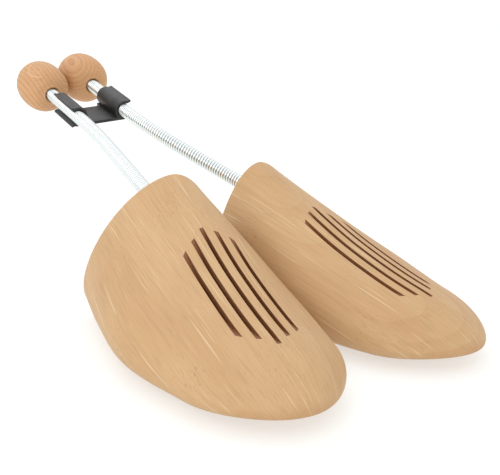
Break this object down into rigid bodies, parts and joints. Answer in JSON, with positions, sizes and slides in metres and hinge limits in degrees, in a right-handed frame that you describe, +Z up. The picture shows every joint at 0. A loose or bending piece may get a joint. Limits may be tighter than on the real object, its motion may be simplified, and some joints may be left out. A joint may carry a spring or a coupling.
{
  "type": "shoe tree",
  "caption": "Clipped pair of spiral shoe trees: beech foreparts with saw-cut vents, close-wound steel springs, turned beech heel knobs and a black plastic clip holding the springs together.",
  "frame": {"origin": "centre of the bounding box, on the floor that the soles rest on", "axes": "+Z up from the soles, -Y towards the toes, +X towards the left shoe's tree"},
  "size_m": [0.1754, 0.3269, 0.1087],
  "materials": {
    "forepart_wood": "sanded, untreated beech",
    "knob_wood": "turned and sanded beech",
    "spring_steel": "bright zinc-plated steel wire",
    "clip_plastic": "satin black moulded plastic"
  },
  "bodies": {
    "right_tree": {"right_forepart": "forepart_wood", "right_spring_front": "spring_steel"},
    "right_spring_half": {"right_spring_middle": "spring_steel"},
    "right_heel": {"right_spring_rear": "spring_steel", "right_knob": "knob_wood"},
    "clip": {"pair_clip": "clip_plastic"},
    "left_heel": {"left_spring_rear": "spring_steel", "left_knob": "knob_wood"},
    "left_spring_half": {"left_spring_middle": "spring_steel"},
    "left_tree": {"left_forepart": "forepart_wood", "left_spring_front": "spring_steel"}
  },
  "joints": [
    {"name": "right_spring_arch", "type": "hinge", "parent": "right_tree", "child": "right_spring_half", "pos_m": [-0.02714, 0.02, 0.06223], "axis": [1, 0, 0], "range_deg": [-30, 15], "stiffness_Nm_per_rad": 0.4, "springref_deg": 2.29, "deforming": ["right_spring_front", "right_spring_middle"]},
    {"name": "right_spring_sway", "type": "hinge", "parent": "right_spring_half", "child": "right_heel", "pos_m": [-0.02377, 0.061, 0.07306], "axis": [0, 0, 1], "range_deg": [-12, 12], "stiffness_Nm_per_rad": 0.4, "deforming": ["right_spring_middle", "right_spring_rear"]},
    {"name": "clip_swivel", "type": "hinge", "parent": "right_heel", "child": "clip", "pos_m": [-0.02189, 0.10031, 0.08123], "axis": [-0.0411, -0.9808, -0.1908], "range_deg": [0, 40]},
    {"name": "clip_release", "type": "slide", "parent": "clip", "child": "left_heel", "axis": [0.9922, -0.0625, 0.1077], "range_m": [0, 0.014]},
    {"name": "left_spring_sway", "type": "hinge", "parent": "left_heel", "child": "left_spring_half", "pos_m": [0.00784, 0.061, 0.07609], "axis": [0, 0, 1], "range_deg": [-12, 12], "stiffness_Nm_per_rad": 0.4, "deforming": ["left_spring_rear", "left_spring_middle"]},
    {"name": "left_spring_arch", "type": "hinge", "parent": "left_spring_half", "child": "left_tree", "pos_m": [0.02202, 0.02, 0.06178], "axis": [1, 0, 0], "range_deg": [-15, 30], "stiffness_Nm_per_rad": 0.4, "deforming": ["left_spring_middle", "left_spring_front"]}
  ],
  "couplings": [
    {"joint": "left_spring_sway", "follows": "right_spring_sway", "ratio": -1},
    {"joint": "left_spring_arch", "follows": "right_spring_arch", "ratio": -1}
  ]
}
